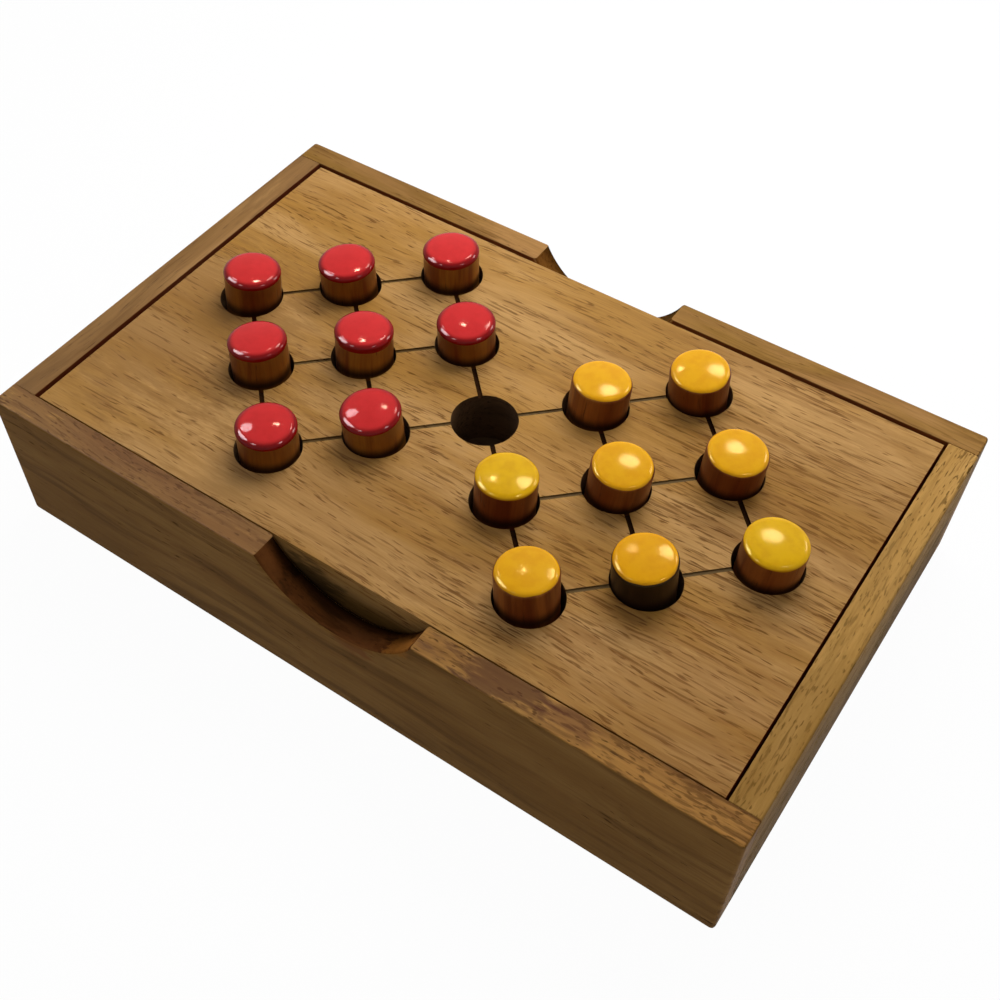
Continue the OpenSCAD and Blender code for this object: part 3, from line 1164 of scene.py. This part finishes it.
@dataclass
class Board:
    """The lift-out board with its pattern of blind holes and scored lines.

    Attributes:
        effects: The shared groups.
        pitch: Distance between neighbouring holes, in millimetres, as the other lengths are.
        hole_d: Width of a hole.
        hole_deep: Depth of a hole.
        turn: Turn of the whole pattern, in degrees.
        centre: Place of the shared middle hole, from the board's middle.
        row_line: Width and depth of the lines towards the right and the back.
        column_line: Width and depth of the lines towards the right and the front.
        corner_r: Rounding of the upright edges.
        edge_r: Rounding of the edges round the top and the underside.
        hole_edge_r: Rounding of the holes' mouths.
        line_edge_r: Rounding of the lines' edges.
        hole_steps: Faces round a hole.
        places: Each hole's column and row from the shared middle hole.
    """

    effects: Effects
    pitch: float = 22.5
    hole_d: float = 14.0
    hole_deep: float = 13.0
    turn: float = -0.92
    centre: tuple[float, float] = (0.17, 0.6)
    row_line: tuple[float, float] = (0.9, 0.3)
    column_line: tuple[float, float] = (1.0, 0.7)
    corner_r: float = 0.8
    edge_r: float = 0.28
    hole_edge_r: float = 0.22
    line_edge_r: float = 0.14
    hole_steps: int = 72
    places: list[tuple[int, int]] = field(default_factory=list)
    LINE_REACH = 0.6
    LINE_NEAR = 1.2
    CUT_PAST = 2.0
    SMOOTH_UNDER = 35.0
    STRAYS = [(-0.25, 0.25), (-0.4, -0.15), (0.2, 0.0), (0.2, 0.55), (-0.05, -0.15), (0.0, -0.25),
              (0.5, 0.0), (-0.15, -0.15), (0.0, -0.4), (0.6, 0.15), (0.15, 0.05), (-0.6, 0.3),
              (-0.65, 0.15), (0.0, 0.1), (0.1, 0.0), (-0.15, -0.1), (0.65, 0.45)]

    def __post_init__(self) -> None:
        """List the holes: two squares of three by three that share the middle one."""
        squares = [(column, row) for first in (-2, 0) for row in range(first, first + 3)
                   for column in range(first, first + 3)]
        self.places = sorted(set(squares), key=lambda place: (place[1], place[0]))
        self.low, self.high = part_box("game_board")

    def crossing(self, place: tuple[int, int]) -> Vector:
        """Find where the scored lines cross at a hole.

        Args:
            place: The hole's column and row from the shared middle hole.

        Returns:
            The point on the board's top, in metres.
        """
        column, row = place
        step = self.pitch * MM / math.sqrt(2)
        flat = Vector(((column + row) * step, (column - row) * step))
        flat.rotate(Matrix.Rotation(math.radians(self.turn), 2))
        middle = (self.low + self.high) / 2
        return Vector((middle.x + self.centre[0] * MM + flat.x, middle.y + self.centre[1] * MM + flat.y,
                       self.high.z))

    def middle_of(self, place: tuple[int, int]) -> Vector:
        """Find a hole's middle on the board's top. The drill strayed a little from each crossing.

        Args:
            place: The hole's column and row from the shared middle hole.

        Returns:
            The point, in metres.
        """
        x, y = self.STRAYS[self.places.index(place)]
        return self.crossing(place) + Vector((x, y, 0)) * MM

    def build(self) -> bpy.types.Object:
        """Make the board.

        Returns:
            The piece.
        """
        body = place_shape("board_body", Tray.block(self.low, self.high))
        for cutter in (self.line_cutter(), self.hole_cutter()):
            self.cut(body, cutter)
        shape = bmesh.new()
        shape.from_mesh(body.data)
        bpy.data.objects.remove(body)
        bmesh.ops.remove_doubles(shape, verts=shape.verts, dist=0.002 * MM)
        for face in shape.faces:
            face.material_index = self.wood_of(face).value
        for edge in shape.edges:
            rounded = self.edge_rule(*(vert.co for vert in edge.verts)) > 0
            edge.smooth = rounded or edge.calc_face_angle(0.0) < math.radians(self.SMOOTH_UNDER)
        woods = (BOARD_WOOD, HOLE_WOOD, ROW_LINE_WOOD, COLUMN_LINE_WOOD, BOARD_END_WOOD)
        wood = [finish.build(self.effects) for finish in woods]
        piece = finish_piece("game_board_panel", shape, "game_board", wood)
        round_edges(piece, self.edge_rule, self.corner_r, 3)
        return piece

    @staticmethod
    def cut(body: bpy.types.Object, cutter: bpy.types.Object) -> None:
        """Cut one object out of another and remove the cutter.

        Args:
            body: The object that is cut.
            cutter: The shape of the hole.
        """
        difference = body.modifiers.new("cut", "BOOLEAN")
        difference.operation = "DIFFERENCE"
        difference.solver = "EXACT"
        difference.object = cutter
        graph = bpy.context.evaluated_depsgraph_get()
        result = bpy.data.meshes.new_from_object(body.evaluated_get(graph))
        body.modifiers.clear()
        body.data = result
        bpy.data.objects.remove(cutter)

    def hole_cutter(self) -> bpy.types.Object:
        """Make the shape of all the holes.

        Returns:
            The cutter.
        """
        shape = bmesh.new()
        height = (self.hole_deep + self.CUT_PAST) * MM
        for place in self.places:
            middle = self.middle_of(place) + Vector((0, 0, self.CUT_PAST * MM - height / 2))
            bmesh.ops.create_cone(shape, cap_ends=True, segments=self.hole_steps,
                                  radius1=self.hole_d / 2 * MM, radius2=self.hole_d / 2 * MM,
                                  depth=height, matrix=Matrix.Translation(middle))
        return place_shape("hole_cutter", shape)

    def line_cutter(self) -> bpy.types.Object:
        """Make the shape of all the scored lines, each between two neighbouring holes.

        Returns:
            The cutter.
        """
        shape = bmesh.new()
        for first in (-2, 0):
            for step in range(first, first + 3):
                for start in (first, first + 1):
                    self.add_line(shape, (start, step), (start + 1, step), self.row_line)
                    self.add_line(shape, (step, start), (step, start + 1), self.column_line)
        return place_shape("line_cutter", shape)

    def add_line(self, shape: bmesh.types.BMesh, start: tuple[int, int], end: tuple[int, int],
                 size: tuple[float, float]) -> None:
        """Add one scored line, which ends inside the two holes.

        Args:
            shape: The cutter.
            start: The first hole's place.
            end: The second hole's place.
            size: The line's width and depth, in millimetres.
        """
        a, b = self.crossing(start), self.crossing(end)
        run = b - a
        length = run.length - self.hole_d * self.LINE_REACH * MM
        width, deep = size
        height = (deep + self.CUT_PAST) * MM
        middle = (a + b) / 2 + Vector((0, 0, self.CUT_PAST * MM - height / 2))
        place = Matrix.Translation(middle) @ Matrix.Rotation(math.atan2(run.y, run.x), 4, "Z")
        bmesh.ops.create_cube(shape, size=1.0,
                              matrix=place @ Matrix.Diagonal((length, width * MM, height, 1)))

    def wood_of(self, face: bmesh.types.BMFace) -> BoardWood:
        """Tell which finish a face has, from where it lies.

        Args:
            face: The face, before its edges are rounded.

        Returns:
            Its finish.
        """
        middle = face.calc_center_median()
        if any(abs(middle[axis] - corner[axis]) < NEAR for axis in (0, 1, 2)
               for corner in (self.low, self.high)):
            return BoardWood.END if abs(face.normal.x) > 0.9 else BoardWood.OUTSIDE
        radius = self.hole_d / 2 * MM + 5 * NEAR
        if any((middle - self.middle_of(place)).xy.length < radius for place in self.places):
            return BoardWood.HOLE
        a, b = self.crossing((0, 0)), self.crossing((1, 0))
        run = (b - a).normalized()
        step = self.pitch * MM
        across = Vector((-run.y, run.x, 0)).dot(middle - a) / step
        in_row = abs(across - round(across)) * step < self.LINE_NEAR * MM
        return BoardWood.ROW_LINE if in_row else BoardWood.COLUMN_LINE

    def edge_rule(self, a: Vector, b: Vector) -> float:
        """Give one edge's radius, in millimetres, for round_edges.

        Args:
            a: The edge's first end.
            b: The edge's second end.

        Returns:
            The radius, or 0 where the edge stays sharp.
        """
        border = 0
        for axis in (0, 1, 2):
            for corner in (self.low, self.high):
                if abs(a[axis] - corner[axis]) < NEAR and abs(b[axis] - corner[axis]) < NEAR:
                    border += 1
        if border >= 2:
            return self.corner_r if abs(a.z - b.z) > self.hole_deep * MM else self.edge_r
        if border == 0 or abs(a.z - self.high.z) > NEAR:
            return 0.0
        radius = self.hole_d / 2 * MM
        off_rim = min(sum(abs((end - self.middle_of(place)).length - radius) for end in (a, b))
                      for place in self.places)
        return self.hole_edge_r if off_rim < 5 * NEAR else self.line_edge_r


@dataclass(frozen=True)
class PegSpot:
    """Where one peg stands and how it looks.

    Attributes:
        node: The CAD node's name.
        place: The hole's column and row.
        lean: The way it leans, as shares of a full lean along X and Y.
        finish: Its paint and stain.
        wrap: How far the paint comes down from the rim, in millimetres.
        shade_from: How far below the rim the painted shade on the cap's side starts, in millimetres.
    """

    node: str
    place: tuple[int, int]
    lean: tuple[float, float]
    finish: PegFinish
    wrap: float
    shade_from: float


@dataclass
class Pegs:
    """The sixteen loose pegs: turned dowels whose tops were dipped in paint.

    Attributes:
        effects: The shared groups.
        board: The board that they stand in.
        peg_d: Width of a peg, in millimetres, as the other lengths are.
        peg_l: Length of a peg.
        play: How far an upright peg can move to each side in its hole.
        rub_gap: What is left of the play where a peg leans on its hole.
        seat_gap: Height of a peg's foot over the hole's floor.
        mouth_share: Share of the play that a full lean uses at the hole's mouth.
        foot_share: Share of the play that a full lean uses at the foot.
        side_r: Rounding of the shoulder's lower part.
        top_r: Rounding of the shoulder's upper part.
        split: Where the one rounding passes into the other, in degrees from the side.
        dome_from: Where the shoulder passes into the crown, in degrees from the side.
        foot_r: Rounding of the foot.
        crown: Height of the crown.
        film: Thickness of the paint.
        film_edge: Height over which the paint reaches its thickness.
        shade_over: Height over which the painted shade down the cap's side grows to full strength.
        round_steps: Faces round a peg.
        shoulder_steps: Faces across the shoulder.
        foot_steps: Faces across the foot's rounding.
    """

    effects: Effects
    board: Board
    peg_d: float = 12.6
    peg_l: float = 20.3
    play: float = 0.7
    rub_gap: float = 0.08
    seat_gap: float = 0.2
    mouth_share: float = 0.9
    foot_share: float = 0.8
    side_r: float = 0.7
    top_r: float = 2.2
    split: float = 55.0
    dome_from: float = 82.5
    foot_r: float = 0.4
    crown: float = 0.34
    film: float = 0.08
    film_edge: float = 0.2
    shade_over: float = 0.3
    round_steps: int = 64
    shoulder_steps: int = 24
    foot_steps: int = 4
    FILM_LEVELS = (0.0, 0.07, 0.14, 0.2)
    BODY_LEVELS = (0.2, 0.4, 0.6, 0.8)
    CROWN_RINGS = (0.92, 0.8, 0.65, 0.5, 0.33, 0.16, 0.0)
    WOOD_STEP = (0.031, 0.017, 0.043)
    RED_LEANS = [(0.4, 0.9), (-0.4, -0.2), (-0.45, 0.35), (-0.65, 0.65),
                 (0.0, 0.8), (0.05, -0.4), (0.3, 0.1), (-0.35, -0.75)]
    YELLOW_LEANS = [(0.4, 0.75), (-0.25, -0.95), (0.0, 0.65), (0.8, -0.15),
                    (0.7, -0.25), (-0.9, 0.25), (-0.6, -0.6), (0.4, -0.05)]
    YELLOW_LOOKS = {3: LEMON_PEG, 7: DARK_YELLOW_PEG, 8: LEMON_PEG}
    RED_WRAPS = (1.4, 1.3, 1.5, 1.5, 1.9, 1.3, 1.4, 1.1)
    YELLOW_WRAPS = (0.5, 0.5, 0.9, 0.5, 0.5, 0.5, 0.5, 0.8)
    # Where the painted shade on the caps' sides starts below the rim, in millimetres.
    RED_SHADE_FROM = -0.04
    YELLOW_SHADE_FROM = 0.33

    def spots(self) -> list[PegSpot]:
        """List the pegs in the order of their nodes.

        Returns:
            One entry for each peg.
        """
        middle = self.board.places.index((0, 0))
        reds = zip(self.board.places[:middle], self.RED_LEANS, self.RED_WRAPS)
        yellows = zip(self.board.places[middle + 1:], self.YELLOW_LEANS, self.YELLOW_WRAPS)
        found = [PegSpot(f"red_peg_{number}", place, lean, RED_PEG, wrap, self.RED_SHADE_FROM)
                 for number, (place, lean, wrap) in enumerate(reds, 1)]
        for number, (place, lean, wrap) in enumerate(yellows, 1):
            look = self.YELLOW_LOOKS.get(number, YELLOW_PEG)
            found.append(PegSpot(f"yellow_peg_{number}", place, lean, look, wrap, self.YELLOW_SHADE_FROM))
        return found

    def build(self) -> list[bpy.types.Object]:
        """Make every peg.

        Returns:
            The pieces.
        """
        made: dict[str, bpy.types.Material] = {}
        pieces = []
        for number, spot in enumerate(self.spots()):
            name = spot.finish.name
            if name not in made:
                made[name] = spot.finish.build(self.effects)
            pieces.append(self.peg(spot, number, made[name]))
        return pieces

    def profile(self, wrap: float) -> list[tuple[float, float]]:
        """Draw half of a peg's outline, from the middle of its foot to the middle of its crown.

        Args:
            wrap: How far the paint comes down from the rim, in millimetres.

        Returns:
            The radius and height of each point, in millimetres.
        """
        bare = self.peg_d / 2 - self.film
        last = math.radians(self.dome_from)
        split = math.radians(self.split)
        wider = self.top_r - self.side_r
        shoulder = (self.peg_l - self.crown - self.film
                    - self.top_r * math.sin(last) + wider * math.sin(split))
        line = self.peg_l - self.crown - wrap

        def film(height: float) -> float:
            """Give the paint's thickness at a height."""
            share = min(max((height - line) / self.film_edge, 0.0), 1.0)
            return self.film * share * share * (3 - 2 * share)

        points = [(0.0, 0.0), (bare * 0.5, 0.0), (bare - self.foot_r, 0.0)]
        for step in range(1, self.foot_steps + 1):
            angle = math.radians(90 * step / self.foot_steps)
            points.append((bare - self.foot_r + self.foot_r * math.sin(angle),
                           self.foot_r * (1 - math.cos(angle))))
        levels = [shoulder * share for share in self.BODY_LEVELS]
        levels += [line + rise for rise in self.FILM_LEVELS if line + rise < shoulder - 0.02]
        for height in sorted(levels):
            points.append((bare + film(height), height))
        for step in range(self.shoulder_steps + 1):
            angle = last * step / self.shoulder_steps
            away, radius = (0.0, self.side_r) if angle < split else (wider, self.top_r)
            reach = radius + film(shoulder - away * math.sin(split) + radius * math.sin(angle))
            points.append((bare - self.side_r - away * math.cos(split) + reach * math.cos(angle),
                           shoulder - away * math.sin(split) + reach * math.sin(angle)))
        flat, rim = points[-1]
        for share in self.CROWN_RINGS:
            points.append((flat * share, rim + self.crown * (1 - share ** 2)))
        return points

    def peg(self, spot: PegSpot, number: int, material: bpy.types.Material) -> bpy.types.Object:
        """Turn one peg on its axis and lean it in its hole.

        Args:
            spot: Where it stands.
            number: Its count from 0, which picks its stretch of wood.
            material: Its finish.

        Returns:
            The piece.
        """
        shape = bmesh.new()
        chain = [shape.verts.new((radius * MM, 0, height * MM))
                 for radius, height in self.profile(spot.wrap)]
        for a, b in zip(chain, chain[1:]):
            shape.edges.new((a, b))
        bmesh.ops.spin(shape, geom=shape.verts[:] + shape.edges[:], cent=(0, 0, 0), axis=(0, 0, 1),
                       angle=math.tau, steps=self.round_steps, use_merge=True)
        bmesh.ops.remove_doubles(shape, verts=shape.verts, dist=0.004 * MM)
        bmesh.ops.recalc_face_normals(shape, faces=shape.faces)
        reach = shape.verts.layers.float.new("reach")
        own = shape.verts.layers.float_vector.new("own")
        side = shape.verts.layers.float.new("side")
        rim = self.peg_l - self.crown
        for vert in shape.verts:
            under = rim - vert.co.z / MM
            vert[reach] = spot.wrap - under
            # The side attribute paints shade on the cap's shoulder and side, which face away from the
            # light.
            vert[side] = min(max((under - spot.shade_from) / self.shade_over, 0.0), 1.0)
            vert[own] = vert.co + Vector(self.WOOD_STEP) * number
        bmesh.ops.transform(shape, matrix=self.stand(spot), verts=shape.verts)
        return finish_piece(spot.node + "_dowel", shape, spot.node, [material])

    def stand(self, spot: PegSpot) -> Matrix:
        """Work out how a peg stands in its hole: its foot off centre, its side against the rim.

        Args:
            spot: Where it stands.

        Returns:
            The move from an upright peg at the origin to its place.
        """
        lean = Vector(spot.lean)
        free = self.play - self.rub_gap
        foot = -lean * free * self.foot_share
        reach = lean.length * free * (self.mouth_share + self.foot_share)
        tilt = math.atan2(reach, self.board.hole_deep)
        rise = self.seat_gap + math.sin(tilt) * self.peg_d / 2
        middle = self.board.middle_of(spot.place)
        place = middle + Vector((foot.x, foot.y, rise - self.board.hole_deep)) * MM
        turn = Matrix.Rotation(math.atan2(lean.y, lean.x), 4, "Z")
        return Matrix.Translation(place) @ turn @ Matrix.Rotation(tilt, 4, "Y")


@dataclass(frozen=True)
class PhotoCamera:
    """The camera at the photograph's place.

    Attributes:
        target: The point it looks at, in millimetres.
        distance: How far it is from that point, in millimetres.
        azimuth: Its turn round the object, in degrees. 0 looks along +Y.
        elevation: Its height above the horizon, in degrees.
        roll: How far its top leans to its right, in degrees.
        focal: Focal length, in pixels of the photograph.
        centre: The lens axis's pixel in the photograph.
        pixels: Width and height of the photograph, in pixels.
        sensor: Width of the camera's own sensor, in millimetres.
    """

    target: tuple[float, float, float] = (9.57, -23.25, 34.0)
    distance: float = 253.5
    azimuth: float = 35.31
    elevation: float = 51.57
    roll: float = 0.55
    focal: float = 1304.7
    centre: tuple[float, float] = (456.9, 516.0)
    pixels: int = 1000
    sensor: float = 36.0

    def build(self) -> bpy.types.Object:
        """Make the camera and use it.

        Returns:
            The camera.
        """
        data = bpy.data.cameras.new("photo_camera")
        data.sensor_width = self.sensor
        data.lens = self.focal / self.pixels * self.sensor
        data.shift_x = (self.pixels / 2 - self.centre[0]) / self.pixels
        data.shift_y = (self.centre[1] - self.pixels / 2) / self.pixels
        data.clip_start = 0.01
        camera = bpy.data.objects.new("photo_camera", data)
        bpy.context.scene.collection.objects.link(camera)
        turn = math.radians(self.azimuth)
        rise = math.radians(self.elevation)
        away = Vector((math.sin(turn) * math.cos(rise), -math.cos(turn) * math.cos(rise), math.sin(rise)))
        look = (-away).to_track_quat("-Z", "Y").to_matrix().to_4x4()
        place = (Vector(self.target) + away * self.distance) * MM
        roll = Matrix.Rotation(math.radians(-self.roll), 4, "Z")
        camera.matrix_world = Matrix.Translation(place) @ look @ roll
        bpy.context.scene.camera = camera
        return camera


@dataclass(frozen=True)
class Lamp:
    """One soft lamp.

    Attributes:
        name: Its name.
        way: Where it stands, as a direction from the object.
        distance: How far away it stands, in metres.
        size: Its width, in metres.
        power: Its power, in watts.
        colour: Its colour.
        mirrored: Whether glossy surfaces show it.
        lights: Whether it lights matt surfaces.
    """

    name: str
    way: tuple[float, float, float]
    distance: float
    size: float
    power: float
    colour: Colour = (1.0, 1.0, 1.0)
    mirrored: bool = True
    lights: bool = True

    def build(self) -> bpy.types.Object:
        """Make the lamp and aim it at the object.

        Returns:
            The lamp.
        """
        data = bpy.data.lights.new(self.name, "AREA")
        data.shape = "DISK"
        data.size = self.size
        data.energy = self.power
        data.color = self.colour
        lamp = bpy.data.objects.new(self.name, data)
        bpy.context.scene.collection.objects.link(lamp)
        way = Vector(self.way).normalized()
        look = (-way).to_track_quat("-Z", "Y").to_matrix().to_4x4()
        lamp.matrix_world = Matrix.Translation(way * self.distance) @ look
        lamp.visible_glossy = self.mirrored
        lamp.visible_diffuse = self.lights
        return lamp


@dataclass
class Studio:
    """A pale floor, plain soft light and a white surround.

    Attributes:
        lamps: The lamps. Those that don't light matt surfaces are there for the gloss alone.
        ambient: Strength of the surround's light.
        floor_size: Width of the floor, in metres.
        floor_white: How much of the floor shows as plain white.
        floor_shade: How much light the floor throws back on the object.
        floor_pale: The floor's own tone where it is seen.
    """

    lamps: tuple[Lamp, ...] = (
        Lamp("main_panel", (-0.1, 0.6, 0.78), 0.32, 0.28, 0.95, mirrored=False),
        Lamp("back_panel", (-0.125, 0.62, 0.77), 1.9, 0.33, 9.2, (1.0, 0.94, 0.8), lights=False),
        Lamp("back_bulb", (-0.39, 0.48, 0.79), 1.0, 0.045, 0.6, (1.0, 0.86, 0.6), lights=False),
        Lamp("left_panel", (-0.59, 0.25, 0.77), 0.6, 0.065, 0.36, (0.96, 0.97, 1.0), lights=False),
        Lamp("left_window", (-0.65, -0.12, 0.745), 1.0, 0.42, 20.0, (0.96, 0.97, 1.0), lights=False),
        Lamp("right_window", (0.3, 0.74, 0.6), 1.0, 0.22, 2.6, (1.0, 0.96, 0.9), lights=False),
        Lamp("front_spot_left", (-0.268, -0.373, 0.886), 1.0, 0.16, 2.0, lights=False),
        Lamp("front_spot_right", (0.431, 0.097, 0.895), 1.0, 0.16, 2.0, lights=False),
    )
    ambient: float = 0.33
    floor_size: float = 6.0
    floor_white: float = 0.97
    floor_shade: float = 0.5
    floor_pale: float = 0.95

    def build(self) -> None:
        """Light the scene and lay the floor."""
        for lamp in self.lamps:
            lamp.build()
        self.surround()
        self.floor()
        bpy.context.scene.view_settings.view_transform = "Standard"

    def surround(self) -> None:
        """Make the world: a soft ambient light that shows as white."""
        world = bpy.data.worlds.new("studio")
        world.use_nodes = True
        bench = NodeBench(world.node_tree)
        back = bench.add("ShaderNodeBackground")
        bench.feed(back, "Color", (1.0, 1.0, 1.0))
        bench.feed(back, "Strength", bench.ramp(bench.mirror_or_camera(), 0.0, 1.0, self.ambient, 1.0))
        bench.to_output(back.outputs[0], "ShaderNodeOutputWorld")
        bpy.context.scene.world = world

    def floor(self) -> None:
        """Lay a white floor that keeps a light shadow."""
        shape = bmesh.new()
        bmesh.ops.create_grid(shape, x_segments=1, y_segments=1, size=self.floor_size / 2)
        plane = place_shape("floor", shape)
        material, bench = new_material("floor")
        matt = bench.add("ShaderNodeBsdfDiffuse")
        glow = bench.add("ShaderNodeEmission")
        seen = bench.mirror_or_camera()
        pale = bench.mix(seen, (self.floor_shade,) * 3, (self.floor_pale,) * 3)
        bench.feed(matt, "Color", pale)
        mix = bench.add("ShaderNodeMixShader")
        bench.feed(mix, 0, bench.maths("MULTIPLY", seen, self.floor_white))
        bench.feed(mix, 1, matt.outputs[0])
        bench.feed(mix, 2, glow.outputs[0])
        bench.to_output(mix.outputs[0])
        plane.data.materials.append(material)


def main() -> None:
    """Build the camera, the light and every piece."""
    logging.basicConfig(level=logging.INFO, format="%(message)s")
    PhotoCamera().build()
    Studio().build()
    effects = Effects()
    board = Board(effects)
    pieces = Tray(effects).build()
    pieces.append(board.build())
    pieces += Pegs(effects, board).build()


if __name__ == "__main__":
    main()
